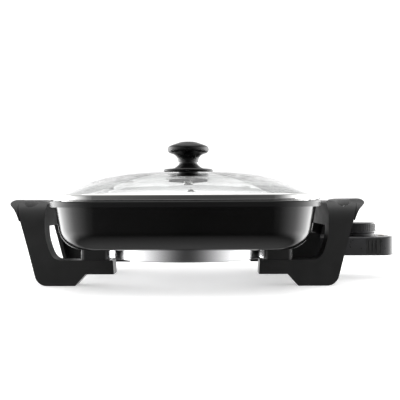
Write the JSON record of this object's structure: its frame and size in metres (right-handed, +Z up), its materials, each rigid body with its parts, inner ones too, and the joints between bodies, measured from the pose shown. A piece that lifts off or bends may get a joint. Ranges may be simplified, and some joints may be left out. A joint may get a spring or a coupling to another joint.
{
  "type": "electric skillet",
  "caption": "Square deep non-stick electric skillet with a domed glass lid, slotted side handles that run down into legs, and a plug-in probe heat control.",
  "frame": {"origin": "on the floor, under the middle of the whole object's plan, heat control included", "axes": "+X from the pan towards the heat control, +Y to the rear, +Z up"},
  "size_m": [0.459, 0.296, 0.1713],
  "materials": {
    "nonstick": "gloss black non-stick coating on die-cast aluminium",
    "cast_aluminium": "bare, face-turned",
    "phenolic": "black moulded phenolic, satin with a fine grain",
    "knob_phenolic": "black moulded phenolic, polished",
    "lid_glass": "clear tempered glass",
    "rim_steel": "polished stainless steel",
    "control_plastic": "black moulded plastic, soft gloss",
    "grip_plastic": "matt black",
    "dial_mark": "light filled pointer mark",
    "gasket_rubber": "black silicone rubber",
    "fastener_steel": "plated steel",
    "sheath_steel": "stainless steel tube",
    "ceramic": "white ceramic and packed magnesia",
    "brass": "plain brass and copper alloy",
    "lens_amber": "pale translucent plastic",
    "lamp_glass": "small neon lamp"
  },
  "bodies": {
    "pan_unit": {"pan": "nonstick", "heating_disc": "cast_aluminium", "element_sheath": "sheath_steel", "magnesia_fill": "ceramic", "resistance_wire": "sheath_steel", "terminal_pins": "sheath_steel", "terminal_seals": "ceramic", "terminal_guard": "phenolic", "guard_screws": "fastener_steel", "left_handle": "phenolic", "right_handle": "phenolic", "handle_screws": "fastener_steel", "handle_washers": "fastener_steel"},
    "lid": {"lid_glass": "lid_glass", "lid_rim": "rim_steel", "vent_grommet": "fastener_steel", "lid_knob": "knob_phenolic", "finger_guard": "knob_phenolic", "knob_insert": "brass", "knob_gasket": "gasket_rubber", "under_gasket": "gasket_rubber", "knob_screw": "fastener_steel"},
    "heat_control": {"control_base": "control_plastic", "control_cover": "control_plastic", "housing_screws": "fastener_steel", "grip_panels": "grip_plastic", "cord_gland": "control_plastic", "indicator_lens": "lens_amber", "indicator_lamp": "lamp_glass", "probe_tube": "sheath_steel", "probe_rod": "sheath_steel", "thermostat_frame": "fastener_steel", "lower_insulator": "ceramic", "middle_insulator": "ceramic", "upper_insulator": "ceramic", "lower_contact_blade": "brass", "upper_contact_blade": "brass", "stack_rivet": "fastener_steel", "contact_points": "brass", "receptacles": "brass", "contact_straps": "brass"},
    "dial": {"dial": "control_plastic", "dial_mark": "dial_mark", "dial_spindle": "fastener_steel", "spindle_clip": "fastener_steel"}
  },
  "joints": [
    {"name": "lid_lift", "type": "slide", "parent": "pan_unit", "child": "lid", "axis": [0, 0, 1], "range_m": [0, 0.12]},
    {"name": "control_pull", "type": "slide", "parent": "pan_unit", "child": "heat_control", "axis": [1, 0, 0], "range_m": [0, 0.11]},
    {"name": "dial_turn", "type": "hinge", "parent": "heat_control", "child": "dial", "pos_m": [0.1885, 0, 0.056], "axis": [0, 0, 1], "range_deg": [-280, 0]}
  ]
}
